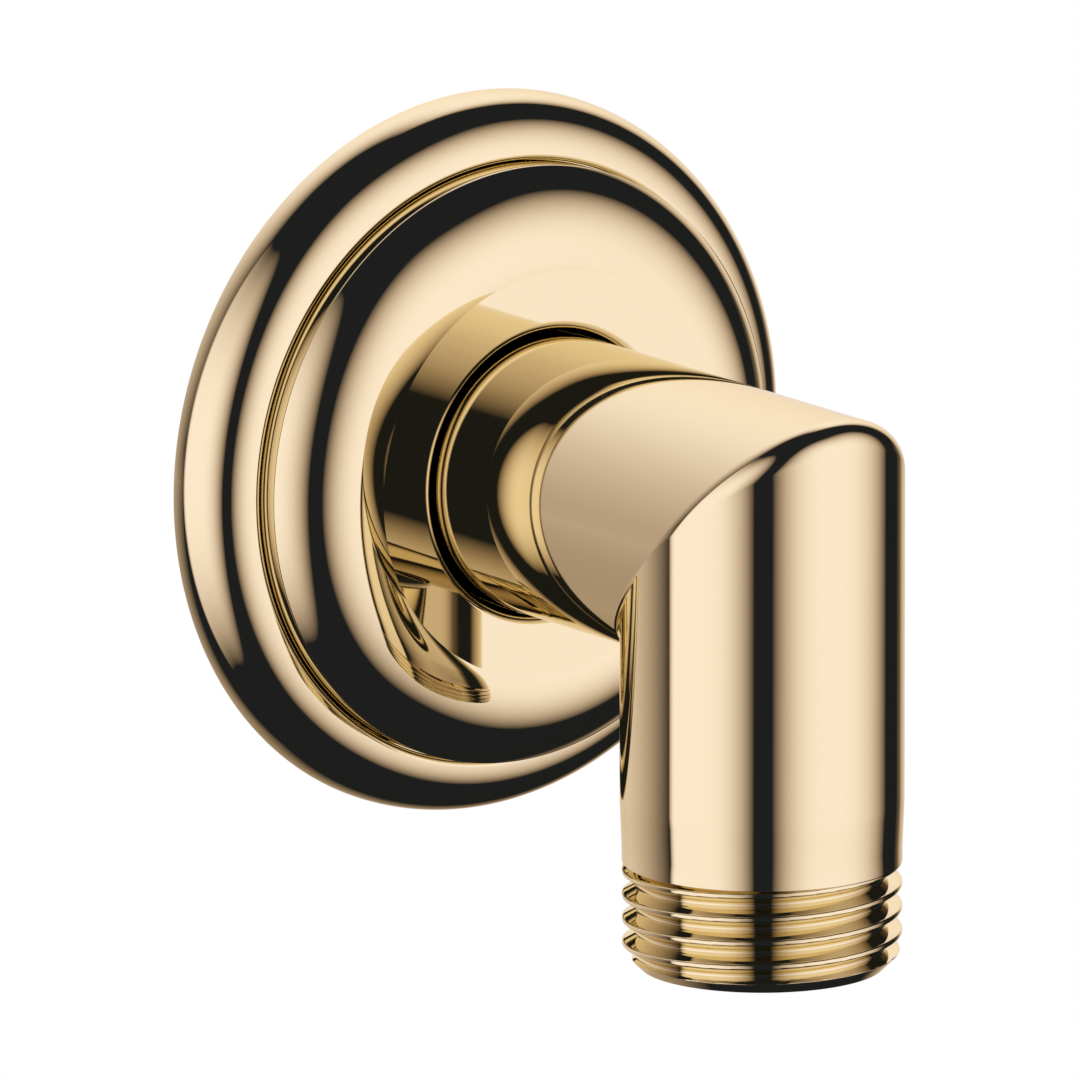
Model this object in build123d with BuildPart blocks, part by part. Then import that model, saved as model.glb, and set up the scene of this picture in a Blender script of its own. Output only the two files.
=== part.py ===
from build123d import *
from math import acos, asin, atan2, cos, degrees, hypot, radians, sin
import os

# Wall outlet elbow of polished brass with a stepped rosette and a backflow preventer in its outlet.
# The wall is the plane Y = 0 and the elbow stands out of it towards -Y. The outlet points to -Z.
# All sizes are in millimetres.

# Elbow tube
tube_diameter = 21.25
projection = 36.7
outlet_drop = 32.6
mitre_radius = 2.0
mitre_steps = 4
pivot_clearance = 1.2
waterway_diameter = 12.0

# Pipe threads of half an inch, as plain blanks of the major diameter with an undercut at the root
thread_diameter = 20.955
thread_depth = 1.162
undercut_width = 1.2
inlet_thread_length = 15.0
outlet_thread_length = 8.0
outlet_band_length = 2.3
thread_chamfer = 1.3

# Rosette
rosette_diameter = 55.0
rosette_height = 10.0
rosette_wall = 1.6
rim_width = 4.65
rim_round = 4.9
groove_width = 0.25
cushion_width = 6.75
cushion_sweep = 59.05
disc_diameter = 31.0
disc_step = 0.05
tube_gap = 0.42
hole_edge = 0.45
hub_wall = 2.4
hub_foot = 2.5
ring_groove_width = 2.3
ring_groove_depth = 1.4
ring_groove_height = 5.6

# Backflow preventer
cartridge_diameter = 15.0
cartridge_depth = 14.0
cartridge_length = 12.5
cartridge_gap = 0.1
cartridge_wall = 1.2
seat_diameter = 9.2
seat_thickness = 1.2
cartridge_ring_section = 1.5
cartridge_ring_depth = 0.75
cartridge_ring_drop = 5.0
poppet_diameter = 10.6
poppet_thickness = 1.2
poppet_nose_diameter = 8.4
poppet_nose_length = 1.4
seal_thickness = 0.8
seal_clearance = 0.02
stem_diameter = 2.5
stem_clearance = 0.06
poppet_travel = 3.0
hub_diameter = 6.6
hub_length = 3.0
spoke_count = 3
spoke_width = 1.3
spring_wire = 0.5
spring_diameter = 6.3
spring_turns = 4.0
spring_seat = 0.02
ring_squeeze_gap = 0.02

# Values that follow from the sizes above
tube_radius = tube_diameter / 2
thread_radius = thread_diameter / 2
waterway_radius = waterway_diameter / 2
rosette_radius = rosette_diameter / 2
step_radius = rosette_radius - rim_width
cushion_top_radius = step_radius - cushion_width
disc_radius = disc_diameter / 2
hole_radius = tube_radius + tube_gap
cartridge_bore_radius = cartridge_diameter / 2
cartridge_radius = cartridge_bore_radius - cartridge_gap
seat_radius = seat_diameter / 2
poppet_radius = poppet_diameter / 2
stem_radius = stem_diameter / 2

# The outlet's axis, with the plane's normal pointing down, and the cartridge's seat in the bore
outlet_plane = Plane(origin=(0, -projection, 0), x_dir=(1, 0, 0), z_dir=(0, 0, -1))
cartridge_drop = outlet_drop - cartridge_depth
cartridge_plane = outlet_plane.offset(cartridge_drop)
# Half section of the cartridge: local x is the radius and local y points up, along the outlet's axis
section_plane = Plane(origin=(0, -projection, -cartridge_drop), x_dir=(1, 0, 0), z_dir=(0, -1, 0))
# Half section of the rosette: local x is the radius and local y is the distance from the wall
rosette_plane = Plane(origin=(0, 0, 0), x_dir=(1, 0, 0), z_dir=(0, 0, -1))

# The mitre's rounded edge is lofted through sections that turn about a pivot off the inner corner
pivot_reach = tube_radius + pivot_clearance
outer_reach = pivot_reach + tube_radius
round_reach = outer_reach - mitre_radius
pivot = (0, -projection + pivot_reach, -pivot_reach)


def mitre_plane(turn):
    """Plane across the elbow through the pivot, turned from the inlet's section towards the outlet's."""
    return Plane(origin=pivot, x_dir=(1, 0, 0), z_dir=(0, -cos(turn), -sin(turn)))


# Each section is taken where the outer edge has turned by one share of the quarter circle
edge_turns = [radians(share * 90 / mitre_steps) for share in range(mitre_steps + 1)]
mitre_outside = [
    (round_reach + mitre_radius * sin(turn), round_reach + mitre_radius * cos(turn)) for turn in edge_turns
]
mitre_turns = [atan2(away, up) for away, up in mitre_outside]

# The straight tube from the wall, cut off at the mitre
with BuildPart() as inlet_run:
    with BuildSketch(Plane.XZ):
        Circle(tube_radius)
    extrude(amount=projection + tube_diameter)
    split(bisect_by=mitre_plane(mitre_turns[0]), keep=Keep.BOTTOM)

# The straight tube above the hose thread, cut off at the mitre
outlet_band = outlet_drop - outlet_thread_length
outlet_shoulder = outlet_band - outlet_band_length
with BuildPart() as outlet_run:
    with BuildSketch(outlet_plane.offset(-tube_diameter)):
        Circle(tube_radius)
    extrude(amount=tube_diameter + outlet_shoulder)
    split(bisect_by=mitre_plane(mitre_turns[-1]), keep=Keep.TOP)

# The rounded edge between them: half an ellipse outside and half an ellipse inside in each section
with BuildPart() as mitre:
    for turn, (away, up) in zip(mitre_turns, mitre_outside):
        slant = max(cos(turn), sin(turn))
        middle = pivot_reach / slant
        outside = hypot(away, up) - middle
        inside = tube_radius / slant
        with BuildSketch(mitre_plane(turn)):
            with BuildLine():
                EllipticalCenterArc((0, middle), tube_radius, outside, 0, arc_size=180)
                EllipticalCenterArc((0, middle), tube_radius, inside, 180, arc_size=180)
            make_face()
    loft()

# Elbow body: the mitred tube with its undercut thread blanks, its mitred waterway and the cartridge's bore
with BuildPart() as elbow_body:
    add(inlet_run.part)
    add(mitre.part)
    add(outlet_run.part)
    with BuildSketch(Plane.XZ):
        Circle(thread_radius)
    extrude(amount=-inlet_thread_length)
    with BuildSketch(outlet_plane.offset(outlet_shoulder)):
        Circle(thread_radius)
    extrude(amount=outlet_band_length + outlet_thread_length)
    inlet_end = elbow_body.faces().sort_by(Axis.Y)[-1]
    outlet_end = elbow_body.faces().sort_by(Axis.Z)[0]
    chamfer(inlet_end.edges() + outlet_end.edges(), length=thread_chamfer)
    with BuildSketch(Plane.XZ, outlet_plane.offset(outlet_band)):
        Circle(tube_radius)
        Circle(thread_radius - thread_depth, mode=Mode.SUBTRACT)
    extrude(amount=undercut_width, mode=Mode.SUBTRACT)
    with BuildLine() as waterway:
        Polyline((0, inlet_thread_length, 0), (0, -projection, 0), (0, -projection, -outlet_drop))
    with BuildSketch(Plane.XZ.offset(-inlet_thread_length)):
        Circle(waterway_radius)
    sweep(path=waterway.line, transition=Transition.RIGHT, mode=Mode.SUBTRACT)
    with BuildSketch(cartridge_plane):
        Circle(cartridge_bore_radius)
    extrude(amount=cartridge_depth, mode=Mode.SUBTRACT)

# Rosette: a turned shell with a rounded rim, a grooved step, a cushion and a raised disc with the tube's hole
rim_centre = rosette_radius - rim_round
groove_edge = step_radius + groove_width
rim_turn = degrees(acos((groove_edge - rim_centre) / rim_round))
groove_top = rim_round * sin(radians(rim_turn))
cushion_top = rosette_height - disc_step
cushion_radius = cushion_width / sin(radians(cushion_sweep))
cushion_centre = (cushion_top_radius, cushion_top - cushion_radius)
cushion_foot = cushion_centre[1] + cushion_radius * cos(radians(cushion_sweep))
disc_turn = degrees(asin((cushion_top_radius - disc_radius) / cushion_radius))
disc_foot = cushion_centre[1] + cushion_radius * cos(radians(disc_turn))
inner_rim_round = rim_round - rosette_wall
inner_cushion_radius = cushion_radius - rosette_wall
inner_step = step_radius - rosette_wall
inner_sweep = degrees(asin((inner_step - cushion_top_radius) / inner_cushion_radius))
inner_step_top = cushion_centre[1] + inner_cushion_radius * cos(radians(inner_sweep))
hub_radius = hole_radius + hub_wall
under_face = cushion_top - rosette_wall

with BuildPart() as rosette:
    with BuildSketch(rosette_plane):
        with BuildLine():
            CenterArc((rim_centre, 0), rim_round, 0, rim_turn)
            Polyline(
                (groove_edge, groove_top),
                (step_radius, groove_top - groove_width),
                (step_radius, cushion_foot),
            )
            CenterArc(cushion_centre, cushion_radius, 90 - cushion_sweep, cushion_sweep + disc_turn)
            Polyline(
                (disc_radius, disc_foot),
                (disc_radius, rosette_height),
                (hole_radius + hole_edge, rosette_height),
            )
            CenterArc((hole_radius + hole_edge, rosette_height - hole_edge), hole_edge, 90, 90)
            Polyline(
                (hole_radius, rosette_height - hole_edge),
                (hole_radius, hub_foot),
                (hub_radius, hub_foot),
                (hub_radius, under_face),
                (cushion_top_radius, under_face),
            )
            CenterArc(cushion_centre, inner_cushion_radius, 90 - inner_sweep, inner_sweep)
            Polyline((inner_step, inner_step_top), (inner_step, inner_rim_round), (rim_centre, inner_rim_round))
            CenterArc((rim_centre, 0), inner_rim_round, 0, 90)
            Polyline((rim_centre + inner_rim_round, 0), (rosette_radius, 0))
        make_face()
        with Locations((hole_radius, ring_groove_height)):
            Rectangle(2 * ring_groove_depth, ring_groove_width, mode=Mode.SUBTRACT)
    revolve(axis=Axis.Y)

# Rubber ring in the rosette's hub, round the tube
ring_section_radius = (tube_gap + ring_groove_depth) / 2 - ring_squeeze_gap
with BuildPart() as rosette_o_ring:
    with BuildSketch(rosette_plane):
        with Locations((tube_radius + (tube_gap + ring_groove_depth) / 2, ring_groove_height)):
            Circle(ring_section_radius)
    revolve(axis=Axis.Y)

# Backflow preventer's housing: a short tube with a seat at its top and a guide on spokes below
cartridge_inside = cartridge_radius - cartridge_wall
hub_drop = cartridge_length - hub_length
outlet_axis = Axis((0, -projection, 0), (0, 0, 1))
with BuildPart() as valve_housing:
    with BuildSketch(section_plane):
        with BuildLine():
            Polyline(
                (seat_radius, 0),
                (cartridge_radius, 0),
                (cartridge_radius, -cartridge_length),
                (cartridge_inside, -cartridge_length),
                (cartridge_inside, -seat_thickness),
                (seat_radius, -seat_thickness),
                (seat_radius, 0),
            )
        make_face()
        with Locations((cartridge_radius, -cartridge_ring_drop)):
            Rectangle(2 * cartridge_ring_depth, cartridge_ring_section, mode=Mode.SUBTRACT)
    revolve(axis=outlet_axis)
    with BuildSketch(cartridge_plane.offset(hub_drop)):
        Circle(hub_diameter / 2)
        with PolarLocations(0, spoke_count):
            with Locations((cartridge_inside / 2, 0)):
                Rectangle(cartridge_inside, spoke_width)
        Circle(stem_radius + stem_clearance, mode=Mode.SUBTRACT)
    extrude(amount=hub_length)

# Rubber ring between the housing and the bore
ring_room = cartridge_gap + cartridge_ring_depth
with BuildPart() as valve_o_ring:
    with BuildSketch(section_plane):
        with Locations((cartridge_bore_radius - ring_room / 2, -cartridge_ring_drop)):
            Circle(ring_room / 2 - ring_squeeze_gap)
    revolve(axis=outlet_axis)

# Poppet: a head with a nose that holds its seal, and a stem that runs in the guide
seal_top = -seat_thickness - seal_clearance
head_top = seal_top - seal_thickness
head_foot = head_top - poppet_thickness
stem_end = -(cartridge_depth - poppet_travel)
with BuildPart() as valve_poppet:
    with BuildSketch(section_plane):
        with BuildLine():
            Polyline(
                (0, head_top + poppet_nose_length),
                (stem_radius, head_top + poppet_nose_length),
                (poppet_nose_diameter / 2, head_top + seal_thickness),
                (poppet_nose_diameter / 2, head_top),
                (poppet_radius, head_top),
                (poppet_radius, head_foot),
                (stem_radius, head_foot),
                (stem_radius, stem_end),
                (0, stem_end),
                (0, head_top + poppet_nose_length),
            )
        make_face()
    revolve(axis=outlet_axis)

# Flat rubber ring on the poppet's head, which meets the seat
with BuildPart() as poppet_seal:
    with BuildSketch(section_plane):
        with BuildLine():
            Polyline(
                (poppet_nose_diameter / 2, head_top),
                (poppet_radius, head_top),
                (poppet_radius, seal_top),
                (poppet_nose_diameter / 2, seal_top),
                (poppet_nose_diameter / 2, head_top),
            )
        make_face()
    revolve(axis=outlet_axis)

# Closing spring between the guide and the poppet's head
spring_room = hub_drop + head_foot
spring_radius = (spring_diameter - spring_wire) / 2
spring_height = spring_room - spring_wire - 2 * spring_seat
spring_foot = -hub_drop + spring_wire / 2 + spring_seat
spring_plane = Plane(origin=(0, -projection, -cartridge_drop + spring_foot), x_dir=(1, 0, 0), z_dir=(0, 0, 1))
with BuildPart() as valve_spring:
    with BuildLine(spring_plane) as coil:
        Helix(pitch=spring_height / spring_turns, height=spring_height, radius=spring_radius)
    with BuildSketch(coil.line ^ 0):
        Circle(spring_wire / 2)
    sweep(path=coil.line, is_frenet=True)

pieces = {
    "elbow_body": elbow_body,
    "rosette": rosette,
    "rosette_o_ring": rosette_o_ring,
    "valve_housing": valve_housing,
    "valve_o_ring": valve_o_ring,
    "valve_poppet": valve_poppet,
    "poppet_seal": poppet_seal,
    "valve_spring": valve_spring,
}
os.makedirs("parts", exist_ok=True)
for name, piece in pieces.items():
    piece.part.label = name
    export_step(piece.part, f"parts/{name}.step")
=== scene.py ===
from math import acos, cos, hypot, pi, radians, sin, tan

import bpy
import numpy as np
from bpy.props import FloatProperty, FloatVectorProperty, IntProperty, PointerProperty
from bpy.types import Operator, Panel, PropertyGroup
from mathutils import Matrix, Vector


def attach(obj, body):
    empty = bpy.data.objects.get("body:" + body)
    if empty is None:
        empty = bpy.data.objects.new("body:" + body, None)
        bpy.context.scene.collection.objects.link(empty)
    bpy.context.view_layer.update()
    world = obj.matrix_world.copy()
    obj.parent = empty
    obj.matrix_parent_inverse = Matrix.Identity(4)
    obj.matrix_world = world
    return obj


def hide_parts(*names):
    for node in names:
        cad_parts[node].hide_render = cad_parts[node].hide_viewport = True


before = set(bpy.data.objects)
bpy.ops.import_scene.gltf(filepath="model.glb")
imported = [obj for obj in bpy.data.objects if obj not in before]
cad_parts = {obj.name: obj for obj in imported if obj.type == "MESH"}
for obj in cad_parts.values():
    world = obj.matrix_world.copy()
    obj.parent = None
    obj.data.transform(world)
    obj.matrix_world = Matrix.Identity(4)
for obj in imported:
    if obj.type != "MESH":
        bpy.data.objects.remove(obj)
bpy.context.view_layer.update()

bl_info = {
    "name": "Wall Outlet Elbow",
    "version": (1, 0, 0),
    "blender": (4, 5, 0),
    "location": "View3D > Sidebar > Elbow",
    "description": "Dresses the CAD model of a polished brass wall outlet elbow",
    "category": "Object",
}

MM = 0.001

# Steps in the rounds of the turned profiles and in the mitre's round
CORNER_STEPS = 4
FOOT_STEPS = 16
EDGE_STEPS = 24
BROAD_STEPS = 80
HOLLOW_RIM_STEPS = 30
HOLLOW_CUSHION_STEPS = 40
MITRE_STEPS = 20
# Stations nearer to each other than this are one
SAME_STATION = 1e-9
# A corner stays sharp where it turns less than this angle, or where its round would take more than this share
# of a stretch
LEAST_TURN = radians(2)
LARGEST_CUT = 0.45
# Directions less than this angle apart are one
SAME_DIRECTION = 1e-6

# Slope of the thread's flanks, and how far its crests stay inside the solid's blank
THREAD_HALF_ANGLE = radians(27.5)
CREST_CLEARANCE = 0.02 * MM
# Step over which the thread's slope is found, in millimetres along it and in radians round it
SLOPE_STEP = 1e-4
# Rows of facets to a pitch of the thread
INLET_ROWS = 20
OUTLET_ROWS = 36
# Share of the neck's taper that lies above the outlet's shoulder
NECK_ABOVE = 2 / 3

# Sockets of the Mix node for colours, which share their names with those for other types
MIX_FACTOR, MIX_A, MIX_B, MIX_RESULT = 0, 6, 7, 2
# The rubber's pale bloom and the acetal's darker flow, as shares of their colours
BLOOM = 2.2
FLOW = 0.9

SENSOR_WIDTH = 36
# The lamp's place along X, Y and Z, as shares of its height
LAMP_PLACE = (-0.4, -0.8, 1.0)
# Powers that round the softboxes' corners and blend the softboxes where they meet
CORNER_POWER = 3.0
BLEND_POWER = 5.0
# Softboxes round the part: the bearing of the middle, seen from above with 0 at the front and plus to the
# right, the reach and the soft edge to the left and right of it, and the reach and the soft edge below and
# above the horizon, all in degrees
SOFTBOXES = {
    "left": (-90, 28.5, 8, 47, 46.5, 57.5, 53.5, 56.5, 59.5),
    "right": (22, 51, 51, 61.5, 63, 56, 55.5, 54.5, 56.5),
    "back": (170, 82, 150, 84, 110, 66, 150, 49.5, 150),
    "high": (155, 47, 24.5, 93, 127, 37, 74, 77, 37.5),
}


def linear(hex_colour):
    """Linear red, green and blue of an sRGB hex colour."""
    shares = [int(hex_colour[i:i + 2], 16) / 255 for i in (1, 3, 5)]
    return tuple(s / 12.92 if s <= 0.04045 else ((s + 0.055) / 1.055) ** 2.4 for s in shares)


def length(name, description, millimetres):
    """A length property of the sidebar, in the scene's unit, with its default in millimetres."""
    return FloatProperty(name=name, description=description, default=millimetres * MM, min=0, unit="LENGTH")


def colour(name, description, hex_colour):
    """A colour property of the sidebar, with its default as an sRGB hex colour."""
    return FloatVectorProperty(
        name=name, description=description, default=linear(hex_colour), min=0, max=1, subtype="COLOR"
    )


def turn_angle(name, description, degrees):
    """An angle property of the sidebar, with its default in degrees."""
    return FloatProperty(name=name, description=description, default=radians(degrees), subtype="ANGLE")


class ElbowSizes(PropertyGroup):
    """Sizes of the mitred tube and its threads."""

    tube_radius: length("Tube radius", "Outside of the tube", 10.625)
    projection: length("Projection", "From the wall to the outlet's axis", 36.7)
    outlet_drop: length("Outlet drop", "From the inlet's axis to the outlet's end", 32.6)
    mitre_radius: length("Mitre round", "Round on the outer edge of the mitre", 2.0)
    throat_radius: length("Throat round", "Fillet in the inner corner of the mitre", 1.2)
    waterway_radius: length("Waterway radius", "Inside of the tube", 6.0)
    cartridge_radius: length("Cartridge bore", "Radius of the backflow preventer's bore", 7.5)
    cartridge_depth: length("Cartridge depth", "Depth of the backflow preventer's bore", 14.0)
    thread_radius: length("Thread radius", "Over the crests of the half inch pipe thread", 10.4775)
    thread_pitch: length("Thread pitch", "From crest to crest: fourteen to the inch", 1.814)
    thread_depth: length("Thread depth", "From crest to root", 1.162)
    thread_round: length("Thread round", "Round of the crests and roots", 0.249)
    first_crest: length("First crest", "From a crest on the right up to the end of the outlet's band", 0.32)
    inlet_thread: length("Inlet thread", "Length of the thread in the wall", 15.0)
    outlet_thread: length("Outlet thread", "Length of the hose thread", 8.0)
    outlet_band: length("Outlet band", "Plain band above the hose thread", 2.3)
    undercut: length("Undercut", "Width of the groove at the inlet thread's root", 1.2)
    neck: length("Neck", "Length of the taper from the tube down to the band", 3.6)
    neck_round: length("Neck round", "Large round at both ends of the taper", 22.0)
    chamfer: length("Chamfer", "Chamfer on the ends of both threads", 1.3)
    edge_round: length("Edge round", "Small round on turned edges", 0.08)
    facets: IntProperty(name="Facets", description="Facets round the tube", default=192, min=48)


class RosetteSizes(PropertyGroup):
    """Sizes of the stepped wall cover."""

    radius: length("Radius", "Outside of the rim", 27.5)
    wall: length("Wall", "Thickness of the shell", 1.6)
    rim_round: length("Rim round", "Radius of the rim's quarter round", 4.9)
    rim_edge: length("Rim edge", "Round of the rim's inner edge, down into the groove", 0.45)
    step_radius: length("Step radius", "Radius of the cushion's foot in the groove", 22.85)
    foot_round: length("Foot round", "Round between the cushion and its foot", 0.5)
    groove: length("Groove", "Width of the groove between the rim and the cushion", 0.04)
    groove_depth: length("Groove depth", "Depth of the groove below the rim's inner edge", 0.3)
    cushion_top: length("Cushion top", "Radius at which the cushion is highest", 16.1)
    cushion_height: length("Cushion height", "From the wall to the top of the cushion", 10.2)
    cushion_round: length("Cushion round", "Radius of the cushion's round", 7.871)
    disc_radius: length("Disc radius", "Outside of the flat disc", 15.5)
    hole_radius: length("Hole radius", "Hole for the tube", 10.92)
    hole_edge: length("Hole edge", "Bright round on the hole's edge", 0.75)
    hub_wall: length("Hub wall", "Thickness of the hub behind the face", 2.525)
    hub_foot: length("Hub foot", "From the wall to the hub", 2.5)
    ring_groove_width: length("Ring groove width", "Width of the rubber ring's groove", 2.3)
    ring_groove_depth: length("Ring groove depth", "Depth of the rubber ring's groove", 1.525)
    ring_groove_height: length("Ring groove height", "From the wall to the middle of the ring's groove", 5.6)
    facets: IntProperty(name="Facets", description="Facets round the rosette", default=288, min=48)


class FinishColours(PropertyGroup):
    """Colours of the finishes: what each gives back of white light."""

    brass: colour("Polished brass", "Pale gold of the polished faces", "#EBDFBB")
    brass_edge: colour("Brass edge", "Tint of the polished faces at a grazing angle", "#F5EED7")
    brass_inside: colour("Machined brass", "Brass that was only turned, inside and at the back", "#E3C48D")
    rubber: colour("Rubber", "Black rubber of the rings", "#1A1A1B")
    acetal: colour("Acetal", "Moulded plastic of the backflow preventer", "#D9D8D2")
    steel: colour("Spring steel", "Drawn stainless wire", "#C9C9C8")


class StudioLooks(PropertyGroup):
    """The camera and the studio round the part."""

    azimuth: turn_angle("Azimuth", "Camera's turn from the front, plus to the right", -36.485)
    elevation: turn_angle("Elevation", "Camera's height above the part", 13.138)
    distance: length("Distance", "From the camera to the wall plane's origin", 3400.0)
    focal_length: FloatProperty(
        name="Focal length", description="Focal length of the long lens", default=1509.6,
        subtype="DISTANCE_CAMERA",
    )
    origin_left: length("Origin left", "Wall origin to the left of the picture's centre", 5.270)
    origin_up: length("Origin up", "Wall origin above the picture's centre", 6.838)
    floor_drop: length("Floor drop", "From the inlet's axis down to the floor", 650.0)
    floor_width: length("Floor width", "Width of the floor's paper", 20000.0)
    paper: colour("Paper", "White paper of the floor and the background", "#FFFFFF")
    panel: colour("Panel", "Light of the softboxes", "#FFF7FE")
    panel_strength: FloatProperty(
        name="Panel strength", description="Strength of the softboxes' light", default=1.18, min=0
    )
    dim: colour("Dim", "Warm tint of the softboxes' light where it fades out", "#FFDCBD")
    dark: colour("Dark", "Unlit part of the studio", "#1E2128")
    lamp_height: length("Lamp height", "From the inlet's axis up to the large lamp", 900.0)
    lamp_width: length("Lamp width", "Side of the large soft lamp", 1200.0)
    lamp_power: FloatProperty(
        name="Lamp power", description="Power of the large soft lamp over the part", default=14.0, min=0,
        subtype="POWER",
    )


# Turned profiles: a station is (radius, travel, normal before, normal after), with normals as (out, along)
def straight(start, end):
    """The two stations of a straight stretch of a turned profile."""
    run = (end[0] - start[0], end[1] - start[1])
    size = hypot(*run)
    normal = (run[1] / size, -run[0] / size)
    return [(*start, normal, normal), (*end, normal, normal)]


def rounded(centre, radius, first, last, steps):
    """Stations along a round of a turned profile, from one angle to another."""
    side = 1 if last > first else -1
    stations = []
    for i in range(steps + 1):
        angle = first + (last - first) * i / steps
        normal = (side * cos(angle), side * sin(angle))
        stations.append((centre[0] + radius * cos(angle), centre[1] + radius * sin(angle), normal, normal))
    return stations


def joined(*stretches):
    """One profile from stretches that meet: a shared station keeps the normals of both sides."""
    profile = []
    for stretch in stretches:
        for r, t, before, after in stretch:
            if profile and hypot(profile[-1][0] - r, profile[-1][1] - t) < SAME_STATION:
                before = profile.pop()[2]
            profile.append((r, t, before, after))
    return profile


def with_rounded_corners(corners, radius):
    """Straight stretches through the corners, each corner but the two ends with a small round."""
    stretches = []
    start = corners[0]
    for here, there in zip(corners[1:-1], corners[2:]):
        into = np.subtract(here, start)
        out = np.subtract(there, here)
        into_way = into / np.linalg.norm(into)
        out_way = out / np.linalg.norm(out)
        turn = acos(float(np.clip(np.dot(into_way, out_way), -1, 1)))
        cut = radius * tan(turn / 2)
        if turn < LEAST_TURN or cut > LARGEST_CUT * min(np.linalg.norm(into), np.linalg.norm(out)):
            stretches.append(straight(start, here))
            start = here
            continue
        side = 1 if into_way[0] * out_way[1] - into_way[1] * out_way[0] > 0 else -1
        first = np.subtract(here, into_way * cut)
        last = np.add(here, out_way * cut)
        centre = first + side * radius * np.array((-into_way[1], into_way[0]))
        angle = np.arctan2(*(first - centre)[::-1])
        stretches.append(straight(start, tuple(first)))
        stretches.append(rounded(tuple(centre), radius, angle, angle + side * turn, CORNER_STEPS))
        start = tuple(last)
    stretches.append(straight(start, corners[-1]))
    return joined(*stretches)


class Spindle:
    """A turning axis: where it starts, which way it travels, and its two radial directions."""

    def __init__(self, origin, travel, right, up, facets):
        vectors = (np.array(vector, float) for vector in (origin, travel, right, up))
        self.origin, self.travel, self.right, self.up = vectors
        self.turn = np.arange(facets) * 2 * pi / facets
        self.radial = np.outer(np.cos(self.turn), self.right) + np.outer(np.sin(self.turn), self.up)
        self.round = np.outer(-np.sin(self.turn), self.right) + np.outer(np.cos(self.turn), self.up)

    def points(self, r, t):
        """A ring of points at a radius and a travel, each one number or one for each facet."""
        points = self.origin + np.multiply.outer(np.broadcast_to(t, self.turn.shape), self.travel)
        return points + self.radial * np.broadcast_to(r, self.turn.shape)[:, None]

    def normal(self, out, along, round_share=0.0):
        """Unit normals from their shares outward, along the axis and round it."""
        shares = [np.broadcast_to(s, self.turn.shape)[:, None] for s in (out, along, round_share)]
        found = shares[0] * self.radial + shares[1] * self.travel + shares[2] * self.round
        return found / np.linalg.norm(found, axis=1)[:, None]

    def rings(self, profile):
        """Rings of a turned profile: points, with the normals of the stretches before and after them."""
        return [
            (self.points(r, t), self.normal(*before), self.normal(*after)) for r, t, before, after in profile
        ]


def thread_radius_at(phase, sizes):
    """Radius of the rounded 55 degree pipe thread at a phase that is 0 on a crest and 1 on the next one."""
    off_crest = np.abs(phase - np.round(phase)) * sizes.thread_pitch
    arc_end = sizes.thread_round * cos(THREAD_HALF_ANGLE)
    from_root = sizes.thread_pitch / 2 - off_crest
    crest = sizes.thread_radius - sizes.thread_round + np.sqrt(
        np.maximum(sizes.thread_round ** 2 - np.minimum(off_crest, arc_end) ** 2, 0)
    )
    root = sizes.thread_radius - sizes.thread_depth + sizes.thread_round - np.sqrt(
        np.maximum(sizes.thread_round ** 2 - np.minimum(from_root, arc_end) ** 2, 0)
    )
    middle = sizes.thread_radius - sizes.thread_depth / 2
    flank = middle + (sizes.thread_pitch / 4 - off_crest) / tan(THREAD_HALF_ANGLE)
    return np.where(off_crest <= arc_end, crest, np.where(from_root <= arc_end, root, flank))


def thread_rings(spindle, start, end, crest_at, sizes, first_normal, last_normal, rows_per_pitch):
    """Rings of a right-hand thread from start to end, cut back by the chamfer at its far end."""
    hand = np.sign(np.dot(np.cross(spindle.right, spindle.up), spindle.travel))
    step = SLOPE_STEP * MM

    def surface(t, turn):
        phase = (t - crest_at) / sizes.thread_pitch - hand * turn / (2 * pi)
        chamfered = sizes.thread_radius - np.maximum(t - (end - sizes.chamfer), 0)
        cut = np.minimum(thread_radius_at(phase, sizes), chamfered)
        return np.minimum(cut, sizes.thread_radius - CREST_CLEARANCE)

    rows = int((end - start) / sizes.thread_pitch * rows_per_pitch)
    turn = spindle.turn
    rings = []
    for i in range(rows + 1):
        t = start + (end - start) * i / rows
        r = surface(t, turn)
        along_slope = (surface(t + step, turn) - surface(t - step, turn)) / (2 * step)
        round_slope = (surface(t, turn + SLOPE_STEP) - surface(t, turn - SLOPE_STEP)) / (2 * SLOPE_STEP) / r
        normal = spindle.normal(1.0, -along_slope, -round_slope)
        rings.append((spindle.points(r, t), normal, normal))
    rings[0] = (rings[0][0], spindle.normal(*first_normal), rings[0][2])
    rings[-1] = (rings[-1][0], rings[-1][1], spindle.normal(*last_normal))
    return rings


def inlet_thread_rings(sizes):
    """Rings of the thread in the wall, from its free end back to the undercut."""
    into_wall = Spindle((0, 0, 0), (0, 1, 0), (1, 0, 0), (0, 0, 1), sizes.facets)
    rings = thread_rings(into_wall, 0.0, sizes.inlet_thread, 0.0, sizes, (0, -1), (0, 1), INLET_ROWS)
    return [(points, after, before) for points, before, after in reversed(rings)]


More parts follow.
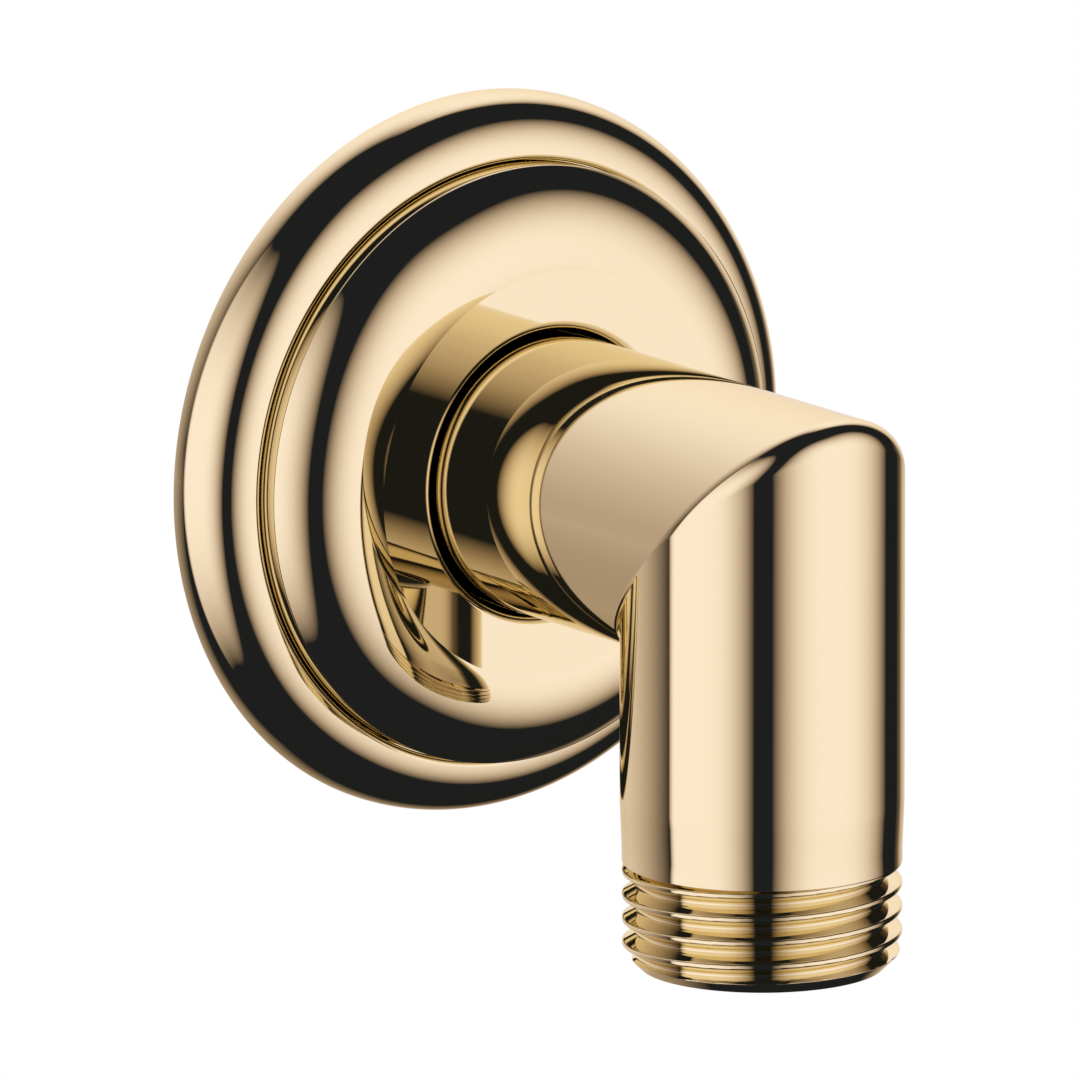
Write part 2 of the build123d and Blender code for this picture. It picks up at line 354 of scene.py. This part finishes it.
def mitre_rings(across, down, sizes):
    """Rings of the rounded mitre, from the end of the inlet's tube to the start of the outlet's."""
    turn = across.turn
    outer = np.sin(turn) >= 0
    spine = sizes.tube_radius + np.where(outer, -sizes.mitre_radius, sizes.throat_radius)
    roll = np.where(outer, sizes.mitre_radius, -sizes.throat_radius)
    centres = np.stack(
        [spine * np.cos(turn), -sizes.projection - spine * np.sin(turn), spine * np.sin(turn)], axis=1
    )
    first, last = across.radial, down.radial
    between = np.arccos(np.clip(np.sum(first * last, axis=1), -1, 1))
    same = between < SAME_DIRECTION
    divisor = np.where(same, 1.0, np.sin(between))
    rings = []
    for i in range(MITRE_STEPS + 1):
        share = i / MITRE_STEPS
        first_weight = np.where(same, 1 - share, np.sin((1 - share) * between) / divisor)
        last_weight = np.where(same, share, np.sin(share * between) / divisor)
        normal = first_weight[:, None] * first + last_weight[:, None] * last
        normal = normal / np.linalg.norm(normal, axis=1)[:, None]
        rings.append((centres + roll[:, None] * normal, normal, normal))
    return rings


def ring_mesh(name, rings, inside_from):
    """A closed mesh from rings that lead round to the first again. Rings from inside_from on take slot 1."""
    count, facets = len(rings), len(rings[0][0])
    points = np.concatenate([ring[0] for ring in rings])
    i, j = np.meshgrid(np.arange(count), np.arange(facets), indexing="ij")
    near, far = (j + 1) % facets, (i + 1) % count
    quads = np.stack([i * facets + j, i * facets + near, far * facets + near, far * facets + j], axis=-1)
    befores = np.stack([ring[1] for ring in rings])
    afters = np.stack([ring[2] for ring in rings])
    normals = np.stack([afters[i, j], afters[i, near], befores[far, near], befores[far, j]], axis=2)
    mesh = bpy.data.meshes.new(name)
    mesh.from_pydata(points.tolist(), [], quads.reshape(-1, 4).tolist())
    mesh.polygons.foreach_set("use_smooth", np.ones(count * facets, bool))
    slots = np.where(i >= inside_from, 1, 0).astype(np.int32)
    mesh.polygons.foreach_set("material_index", slots.ravel())
    mesh.update()
    mesh.normals_split_custom_set(normals.reshape(-1, 3).tolist())
    return mesh


def placed(name, mesh, body, materials, replaced):
    """Places a piece that stands for a CAD node, with its finishes, riding on its body."""
    for material in materials:
        mesh.materials.append(material)
    piece = bpy.data.objects.new(name, mesh)
    bpy.context.scene.collection.objects.link(piece)
    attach(piece, body)
    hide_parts(replaced)


class ELBOW_OT_body(Operator):
    """Build the mitred tube with its real threads, its waterway and the cartridge's bore."""

    bl_idname = "elbow.body"
    bl_label = "Elbow body"

    def execute(self, context):
        s = context.scene.elbow_sizes
        across = Spindle((0, 0, 0), (0, -1, 0), (1, 0, 0), (0, 0, 1), s.facets)
        down = Spindle((0, -s.projection, 0), (0, 0, -1), (1, 0, 0), (0, -1, 0), s.facets)
        root = s.thread_radius - s.thread_depth
        end_radius = s.thread_radius - s.chamfer
        band_end = s.outlet_drop - s.outlet_thread
        shoulder = band_end - s.outlet_band
        cartridge_top = s.outlet_drop - s.cartridge_depth
        inlet_end = straight((s.waterway_radius, -s.inlet_thread), (end_radius, -s.inlet_thread))
        undercut = with_rounded_corners(
            [(root, 0), (root, s.undercut), (s.tube_radius, s.undercut), (s.tube_radius, 2 * s.undercut)],
            s.edge_round,
        )
        neck = with_rounded_corners(
            [
                (s.tube_radius, shoulder - 2 * s.outlet_band),
                (s.tube_radius, shoulder - NECK_ABOVE * s.neck),
                (s.thread_radius, shoulder + (1 - NECK_ABOVE) * s.neck),
                (s.thread_radius, band_end - s.edge_round),
            ],
            s.neck_round,
        )
        lip_centre = (s.thread_radius - s.edge_round, band_end - s.edge_round)
        lip = rounded(lip_centre, s.edge_round, 0, pi / 2, CORNER_STEPS)
        bore = joined(
            straight((end_radius, s.outlet_drop), (s.cartridge_radius, s.outlet_drop)),
            straight((s.cartridge_radius, s.outlet_drop), (s.cartridge_radius, cartridge_top)),
            straight((s.cartridge_radius, cartridge_top), (s.waterway_radius, cartridge_top)),
        )
        crest_at = band_end - s.first_crest
        rings = across.rings(inlet_end[:-1])
        rings += inlet_thread_rings(s)
        rings += across.rings(undercut)
        rings += mitre_rings(across, down, s)
        rings += down.rings(joined(neck, lip))
        rings += thread_rings(down, band_end, s.outlet_drop, crest_at, s, (0, 1), (0, 1), OUTLET_ROWS)
        inside_from = len(rings) - 1
        rings += down.rings(bore[1:])
        waterway_mitre = down.origin + down.radial * s.waterway_radius
        waterway_mitre = waterway_mitre + np.outer(np.sin(across.turn), (0, 0, s.waterway_radius))
        rings.append((waterway_mitre, -down.radial, -across.radial))
        mesh = ring_mesh("elbow_shell", rings, inside_from)
        colours = context.scene.finish_colours
        polished = polished_brass(colours.brass, colours.brass_edge)
        turned = machined_brass(colours.brass_inside)
        placed("elbow_shell", mesh, "elbow", (polished, turned), "elbow_body")
        return {"FINISHED"}


class ELBOW_OT_rosette(Operator):
    """Build the stepped wall cover with its hub and groove."""

    bl_idname = "elbow.rosette"
    bl_label = "Rosette"

    def execute(self, context):
        s = context.scene.rosette_sizes
        spindle = Spindle((0, 0, 0), (0, -1, 0), (1, 0, 0), (0, 0, 1), s.facets)
        rim_centre = (s.radius - s.rim_round, 0)
        edge_off = s.step_radius + s.groove + s.rim_edge - rim_centre[0]
        edge_reach = s.rim_round - s.rim_edge
        rim_last = acos(edge_off / edge_reach)
        rim_edge = (rim_centre[0] + edge_off, edge_reach * sin(rim_last))
        groove_top = (s.step_radius + s.groove, rim_edge[1])
        groove_foot = (s.step_radius, rim_edge[1] - s.groove_depth)
        cushion_centre = (s.cushion_top, s.cushion_height - s.cushion_round)
        foot_off = s.step_radius - s.foot_round - s.cushion_top
        foot_reach = s.cushion_round - s.foot_round
        cushion_first = acos(foot_off / foot_reach)
        foot_centre = (s.cushion_top + foot_off, cushion_centre[1] + foot_reach * sin(cushion_first))
        cushion_last = acos((s.disc_radius - s.cushion_top) / s.cushion_round)
        face = cushion_centre[1] + s.cushion_round * sin(cushion_last)
        under_face = s.cushion_height - s.wall
        hole_edge = (s.hole_radius + s.hole_edge, face - s.hole_edge)
        hub = s.hole_radius + s.hub_wall
        inner_rim = s.rim_round - s.wall
        inner_cushion = s.cushion_round - s.wall
        inner_step = s.step_radius - s.wall
        inner_step_first = acos((inner_step - s.cushion_top) / inner_cushion)
        inner_step_top = cushion_centre[1] + inner_cushion * sin(inner_step_first)
        ring_low = s.ring_groove_height - s.ring_groove_width / 2
        ring_high = s.ring_groove_height + s.ring_groove_width / 2
        ring_groove = s.hole_radius + s.ring_groove_depth
        outside = joined(
            rounded(rim_centre, s.rim_round, 0, rim_last, BROAD_STEPS),
            rounded(rim_edge, s.rim_edge, rim_last, pi, EDGE_STEPS),
            straight(groove_top, (groove_top[0], groove_foot[1])),
            straight((groove_top[0], groove_foot[1]), groove_foot),
            straight(groove_foot, (s.step_radius, foot_centre[1])),
            rounded(foot_centre, s.foot_round, 0, cushion_first, FOOT_STEPS),
            rounded(cushion_centre, s.cushion_round, cushion_first, cushion_last, BROAD_STEPS),
            straight((s.disc_radius, face), (hole_edge[0], face)),
            rounded(hole_edge, s.hole_edge, pi / 2, pi, EDGE_STEPS),
            straight((s.hole_radius, hole_edge[1]), (s.hole_radius, ring_high)),
        )
        hollow = joined(
            straight((s.hole_radius, ring_high), (ring_groove, ring_high)),
            straight((ring_groove, ring_high), (ring_groove, ring_low)),
            straight((ring_groove, ring_low), (s.hole_radius, ring_low)),
            straight((s.hole_radius, ring_low), (s.hole_radius, s.hub_foot)),
            straight((s.hole_radius, s.hub_foot), (hub, s.hub_foot)),
            straight((hub, s.hub_foot), (hub, under_face)),
            straight((hub, under_face), (s.cushion_top, under_face)),
            rounded(cushion_centre, inner_cushion, pi / 2, inner_step_first, HOLLOW_CUSHION_STEPS),
            straight((inner_step, inner_step_top), (inner_step, inner_rim)),
            straight((inner_step, inner_rim), (rim_centre[0], inner_rim)),
            rounded(rim_centre, inner_rim, pi / 2, 0, HOLLOW_RIM_STEPS),
            straight((rim_centre[0] + inner_rim, 0), (s.radius, 0)),
        )
        profile = joined(outside, hollow)
        back = profile.pop()
        profile[0] = (*profile[0][:2], back[2], profile[0][3])
        mesh = ring_mesh("rosette_shell", spindle.rings(profile), len(outside) - 1)
        colours = context.scene.finish_colours
        polished = polished_brass(colours.brass, colours.brass_edge)
        turned = machined_brass(colours.brass_inside)
        placed("rosette_shell", mesh, "elbow", (polished, turned), "rosette")
        return {"FINISHED"}


def node(tree, kind, links=None, inputs=None, **settings):
    """Add a node, with its settings, the values of its inputs, and links from other sockets."""
    added = tree.nodes.new(kind)
    for key, value in settings.items():
        setattr(added, key, value)
    for key, value in (inputs or {}).items():
        added.inputs[key].default_value = value
    for key, socket in (links or {}).items():
        tree.links.new(socket, added.inputs[key])
    return added


def fresh_material(name):
    """An empty node material and its tree, or the finished one and no tree if it was made before."""
    found = bpy.data.materials.get(name)
    if found:
        return found, None
    material = bpy.data.materials.new(name)
    material.use_nodes = True
    material.node_tree.nodes.clear()
    return material, material.node_tree


def polished_brass(brass, edge):
    """Brass, ground and buffed to a mirror under a thin gold finish: clear reflections and a warm tint."""
    material, tree = fresh_material("mirror_polished_brass")
    if tree is None:
        return material
    place = node(tree, "ShaderNodeTexCoord")
    # The buffing wheel leaves a faint haze in patches of about 6 mm
    haze = node(
        tree, "ShaderNodeTexNoise", {"Vector": place.outputs["Object"]},
        {"Scale": 1 / (6 * MM), "Detail": 3.0, "Roughness": 0.55},
    )
    gloss = node(
        tree, "ShaderNodeMapRange", {"Value": haze.outputs["Fac"]},
        {"From Min": 0.3, "From Max": 0.7, "To Min": 0.018, "To Max": 0.032},
    )
    shader = node(
        tree, "ShaderNodeBsdfPrincipled", {"Roughness": gloss.outputs["Result"]},
        {"Base Color": (*brass, 1), "Metallic": 1.0, "Specular Tint": (*edge, 1)},
    )
    node(tree, "ShaderNodeOutputMaterial", {"Surface": shader.outputs["BSDF"]})
    return material


def machined_brass(brass):
    """Brass as it comes off the lathe: the same metal with fine tool marks and a softer shine."""
    material, tree = fresh_material("turned_brass")
    if tree is None:
        return material
    place = node(tree, "ShaderNodeTexCoord")
    # The tool's marks are about 0.1 mm apart, which is too fine to show, so they are drawn at 0.4 mm
    marks = node(
        tree, "ShaderNodeTexNoise", {"Vector": place.outputs["Object"]},
        {"Scale": 1 / (0.4 * MM), "Detail": 2.0, "Roughness": 0.6},
    )
    gloss = node(
        tree, "ShaderNodeMapRange", {"Value": marks.outputs["Fac"]},
        {"From Min": 0.3, "From Max": 0.7, "To Min": 0.24, "To Max": 0.42},
    )
    relief = node(
        tree, "ShaderNodeBump", {"Height": marks.outputs["Fac"]}, {"Strength": 0.25, "Distance": 0.02 * MM}
    )
    shader = node(
        tree, "ShaderNodeBsdfPrincipled",
        {"Roughness": gloss.outputs["Result"], "Normal": relief.outputs["Normal"]},
        {"Base Color": (*brass, 1), "Metallic": 1.0},
    )
    node(tree, "ShaderNodeOutputMaterial", {"Surface": shader.outputs["BSDF"]})
    return material


def nitrile_rubber(rubber):
    """Black nitrile rubber as it leaves the mould: dull, with a pale bloom that breaks up the shine."""
    material, tree = fresh_material("nitrile_rubber")
    if tree is None:
        return material
    place = node(tree, "ShaderNodeTexCoord")
    # The bloom's grains are too fine to show, so they are drawn at 0.5 mm
    bloom = node(
        tree, "ShaderNodeTexNoise", {"Vector": place.outputs["Object"]},
        {"Scale": 1 / (0.5 * MM), "Detail": 3.0, "Roughness": 0.6},
    )
    pale = [min(1.0, BLOOM * share) for share in rubber]
    tone = node(
        tree, "ShaderNodeMix", {MIX_FACTOR: bloom.outputs["Fac"]}, {MIX_A: (*rubber, 1), MIX_B: (*pale, 1)},
        data_type="RGBA",
    )
    gloss = node(
        tree, "ShaderNodeMapRange", {"Value": bloom.outputs["Fac"]}, {"To Min": 0.5, "To Max": 0.75}
    )
    shader = node(
        tree, "ShaderNodeBsdfPrincipled",
        {"Base Color": tone.outputs[MIX_RESULT], "Roughness": gloss.outputs["Result"]}, {"IOR": 1.52},
    )
    node(tree, "ShaderNodeOutputMaterial", {"Surface": shader.outputs["BSDF"]})
    return material


def moulded_acetal(acetal):
    """White acetal out of a fine mould: a satin skin, faintly clouded by the flow of the plastic."""
    material, tree = fresh_material("moulded_acetal")
    if tree is None:
        return material
    place = node(tree, "ShaderNodeTexCoord")
    # The flow clouds the plastic in patches of about 2.5 mm
    flow = node(
        tree, "ShaderNodeTexNoise", {"Vector": place.outputs["Object"]},
        {"Scale": 1 / (2.5 * MM), "Detail": 2.0, "Roughness": 0.5},
    )
    shaded = [FLOW * share for share in acetal]
    tone = node(
        tree, "ShaderNodeMix", {MIX_FACTOR: flow.outputs["Fac"]}, {MIX_A: (*shaded, 1), MIX_B: (*acetal, 1)},
        data_type="RGBA",
    )
    gloss = node(
        tree, "ShaderNodeMapRange", {"Value": flow.outputs["Fac"]}, {"To Min": 0.28, "To Max": 0.42}
    )
    shader = node(
        tree, "ShaderNodeBsdfPrincipled",
        {"Base Color": tone.outputs[MIX_RESULT], "Roughness": gloss.outputs["Result"]}, {"IOR": 1.48},
    )
    node(tree, "ShaderNodeOutputMaterial", {"Surface": shader.outputs["BSDF"]})
    return material


def drawn_steel(steel):
    """Stainless spring wire, drawn through a die: a bright metal whose fine marks vary its shine."""
    material, tree = fresh_material("drawn_steel")
    if tree is None:
        return material
    place = node(tree, "ShaderNodeTexCoord")
    # The die's marks are a few hundredths of a millimetre wide, too fine to show, so they are drawn at 0.3 mm
    marks = node(
        tree, "ShaderNodeTexNoise", {"Vector": place.outputs["Object"]},
        {"Scale": 1 / (0.3 * MM), "Detail": 2.0, "Roughness": 0.6},
    )
    gloss = node(
        tree, "ShaderNodeMapRange", {"Value": marks.outputs["Fac"]}, {"To Min": 0.16, "To Max": 0.34}
    )
    shader = node(
        tree, "ShaderNodeBsdfPrincipled", {"Roughness": gloss.outputs["Result"]},
        {"Base Color": (*steel, 1), "Metallic": 1.0},
    )
    node(tree, "ShaderNodeOutputMaterial", {"Surface": shader.outputs["BSDF"]})
    return material


def finished(material, names):
    """Gives solids that are shown as they are their finish."""
    for name in names:
        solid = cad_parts[name]
        solid.data.materials.clear()
        solid.data.materials.append(material)


class ELBOW_OT_seals(Operator):
    """Finish the rubber rings of the rosette, the cartridge and the poppet."""

    bl_idname = "elbow.seals"
    bl_label = "Rubber rings"

    def execute(self, context):
        rubber = nitrile_rubber(context.scene.finish_colours.rubber)
        finished(rubber, ("rosette_o_ring", "valve_o_ring", "poppet_seal"))
        return {"FINISHED"}


class ELBOW_OT_valve(Operator):
    """Finish the backflow preventer's moulded pieces and its spring."""

    bl_idname = "elbow.valve"
    bl_label = "Backflow preventer"

    def execute(self, context):
        colours = context.scene.finish_colours
        finished(moulded_acetal(colours.acetal), ("valve_housing", "valve_poppet"))
        finished(drawn_steel(colours.steel), ("valve_spring",))
        return {"FINISHED"}


def softbox_light(tree, bearing, height, box):
    """How bright a softbox is in a direction: full in its middle, with a soft edge and rounded corners."""
    middle, *edges = (radians(angle) for angle in box)
    off = node(tree, "ShaderNodeMath", {0: bearing}, {1: middle}, operation="SUBTRACT")
    off = node(tree, "ShaderNodeMath", {0: off.outputs[0]}, {1: pi, 2: -pi}, operation="WRAP")
    losses = []
    for where, (reach, fade, far_reach, far_fade) in ((off.outputs[0], edges[:4]), (height, edges[4:])):
        near = node(
            tree, "ShaderNodeMapRange", {"Value": where}, {"From Min": fade - reach, "From Max": -reach}
        )
        far = node(
            tree, "ShaderNodeMapRange", {"Value": where},
            {"From Min": far_reach - far_fade, "From Max": far_reach},
        )
        most = node(
            tree, "ShaderNodeMath", {0: near.outputs["Result"], 1: far.outputs["Result"]}, operation="MAXIMUM"
        )
        loss = node(tree, "ShaderNodeMath", {0: most.outputs[0]}, {1: CORNER_POWER}, operation="POWER")
        losses.append(loss.outputs[0])
    loss = node(tree, "ShaderNodeMath", {0: losses[0], 1: losses[1]}, operation="ADD", use_clamp=True)
    return node(tree, "ShaderNodeMath", {1: loss.outputs[0]}, {0: 1.0}, operation="SUBTRACT").outputs[0]


class ELBOW_OT_stage(Operator):
    """Set up the camera, the paper floor, the large lamp and the studio that the brass mirrors."""

    bl_idname = "elbow.stage"
    bl_label = "Stage"

    def execute(self, context):
        looks = context.scene.studio_looks
        self.camera(context.scene, looks)
        self.floor(context.scene, looks)
        self.lamp(context.scene, looks)
        self.studio(context.scene, looks)
        context.scene.view_settings.view_transform = "Standard"
        return {"FINISHED"}

    def camera(self, scene, looks):
        """A long lens at the picture's angle, with the wall's origin off the middle of the picture."""
        back = Vector((
            sin(looks.azimuth) * cos(looks.elevation),
            -cos(looks.azimuth) * cos(looks.elevation),
            sin(looks.elevation),
        ))
        right = back.cross((0, 0, -1)).normalized()
        up = back.cross(right)
        lens = bpy.data.cameras.new("camera")
        lens.lens = looks.focal_length
        lens.sensor_width = SENSOR_WIDTH
        camera = bpy.data.objects.new("camera", lens)
        camera.location = back * looks.distance + right * looks.origin_left - up * looks.origin_up
        camera.rotation_mode = "QUATERNION"
        camera.rotation_quaternion = (-back).to_track_quat("-Z", "Y")
        scene.collection.objects.link(camera)
        scene.camera = camera

    def floor(self, scene, looks):
        """White paper far below the part, seen from above only and left out of the brass's reflections."""
        half = looks.floor_width / 2
        mesh = bpy.data.meshes.new("floor")
        corners = [(-half, -half), (half, -half), (half, half), (-half, half)]
        mesh.from_pydata([(x, y, -looks.floor_drop) for x, y in corners], [], [(0, 1, 2, 3)])
        mesh.materials.append(self.paper(looks))
        floor = bpy.data.objects.new("floor", mesh)
        floor.visible_glossy = False
        scene.collection.objects.link(floor)

    def paper(self, looks):
        """Matt white background paper: plain white to the camera, shaded as paper is for all other light."""
        material, tree = fresh_material("background_paper")
        if tree is None:
            return material
        ray = node(tree, "ShaderNodeLightPath")
        side = node(tree, "ShaderNodeNewGeometry")
        matt = node(tree, "ShaderNodeBsdfDiffuse", inputs={"Color": (*looks.paper, 1)})
        shown = node(tree, "ShaderNodeEmission", inputs={"Color": (*looks.paper, 1), "Strength": 1.0})
        seen = node(
            tree, "ShaderNodeMixShader",
            {0: ray.outputs["Is Camera Ray"], 1: matt.outputs["BSDF"], 2: shown.outputs["Emission"]},
        )
        clear = node(tree, "ShaderNodeBsdfTransparent")
        one_sided = node(
            tree, "ShaderNodeMixShader",
            {0: side.outputs["Backfacing"], 1: seen.outputs["Shader"], 2: clear.outputs["BSDF"]},
        )
        node(tree, "ShaderNodeOutputMaterial", {"Surface": one_sided.outputs["Shader"]})
        return material

    def lamp(self, scene, looks):
        """A large soft lamp over the part that lifts rubber and plastic to a plain level."""
        light = bpy.data.lights.new("large_lamp", "AREA")
        light.shape = "SQUARE"
        light.size = looks.lamp_width
        light.energy = looks.lamp_power
        lamp = bpy.data.objects.new("large_lamp", light)
        lamp.location = [share * looks.lamp_height for share in LAMP_PLACE]
        lamp.rotation_mode = "QUATERNION"
        lamp.rotation_quaternion = (-lamp.location).to_track_quat("-Z", "Y")
        lamp.visible_glossy = False
        scene.collection.objects.link(lamp)

    def studio(self, scene, looks):
        """A dark room with four softboxes for the brass to mirror, and white paper for the camera."""
        world = bpy.data.worlds.new("studio")
        world.use_nodes = True
        tree = world.node_tree
        tree.nodes.clear()
        place = node(tree, "ShaderNodeTexCoord")
        way = node(tree, "ShaderNodeSeparateXYZ", {"Vector": place.outputs["Generated"]})
        front = node(tree, "ShaderNodeMath", {0: way.outputs["Y"]}, {1: -1.0}, operation="MULTIPLY")
        bearing = node(
            tree, "ShaderNodeMath", {0: way.outputs["X"], 1: front.outputs[0]}, operation="ARCTAN2"
        )
        height = node(tree, "ShaderNodeMath", {0: way.outputs["Z"]}, operation="ARCSINE")
        blend = None
        for box in SOFTBOXES.values():
            more = softbox_light(tree, bearing.outputs[0], height.outputs[0], box)
            more = node(tree, "ShaderNodeMath", {0: more}, {1: BLEND_POWER}, operation="POWER").outputs[0]
            if blend is not None:
                more = node(tree, "ShaderNodeMath", {0: blend, 1: more}, operation="ADD").outputs[0]
            blend = more
        light = node(
            tree, "ShaderNodeMath", {0: blend}, {1: 1 / BLEND_POWER}, operation="POWER", use_clamp=True
        )
        tint = node(
            tree, "ShaderNodeMix", {MIX_FACTOR: light.outputs[0]},
            {MIX_A: (*looks.dim, 1), MIX_B: (*looks.panel, 1)}, data_type="RGBA",
        )
        room = node(
            tree, "ShaderNodeMix", {MIX_FACTOR: light.outputs[0], MIX_B: tint.outputs[MIX_RESULT]},
            {MIX_A: (*looks.dark, 1)}, data_type="RGBA",
        )
        mirrored = node(
            tree, "ShaderNodeBackground", {"Color": room.outputs[MIX_RESULT]},
            {"Strength": looks.panel_strength},
        )
        plain = node(tree, "ShaderNodeBackground", inputs={"Color": (*looks.paper, 1), "Strength": 1.0})
        ray = node(tree, "ShaderNodeLightPath")
        shown = node(
            tree, "ShaderNodeMixShader",
            {
                0: ray.outputs["Is Camera Ray"],
                1: mirrored.outputs["Background"],
                2: plain.outputs["Background"],
            },
        )
        node(tree, "ShaderNodeOutputWorld", {"Surface": shown.outputs["Shader"]})
        scene.world = world


class ELBOW_PT_panel(Panel):
    """Lists the elbow's pieces and its stage in the sidebar."""

    bl_idname = "ELBOW_PT_panel"
    bl_label = "Wall Outlet Elbow"
    bl_space_type = "VIEW_3D"
    bl_region_type = "UI"
    bl_category = "Elbow"

    def draw(self, context):
        for operator in OPERATORS:
            self.layout.operator(operator.bl_idname)
        for group in PROPERTIES:
            settings = getattr(context.scene, group)
            box = self.layout.box()
            for name in settings.bl_rna.properties.keys():
                if name not in ("rna_type", "name"):
                    box.prop(settings, name)


OPERATORS = (ELBOW_OT_body, ELBOW_OT_rosette, ELBOW_OT_seals, ELBOW_OT_valve, ELBOW_OT_stage)
PROPERTIES = {
    "elbow_sizes": ElbowSizes,
    "rosette_sizes": RosetteSizes,
    "finish_colours": FinishColours,
    "studio_looks": StudioLooks,
}
CLASSES = (*PROPERTIES.values(), *OPERATORS, ELBOW_PT_panel)


def register():
    """Register the classes and hang the sizes and colours on the scene."""
    for item in CLASSES:
        bpy.utils.register_class(item)
    for name, group in PROPERTIES.items():
        setattr(bpy.types.Scene, name, PointerProperty(type=group))


def unregister():
    """Take the sizes and colours off the scene and unregister the classes."""
    for name in PROPERTIES:
        delattr(bpy.types.Scene, name)
    for item in reversed(CLASSES):
        bpy.utils.unregister_class(item)


def main():
    """Register the add-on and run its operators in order."""
    register()
    bpy.ops.elbow.body()
    bpy.ops.elbow.rosette()
    bpy.ops.elbow.seals()
    bpy.ops.elbow.valve()
    bpy.ops.elbow.stage()


if __name__ == "__main__":
    main()
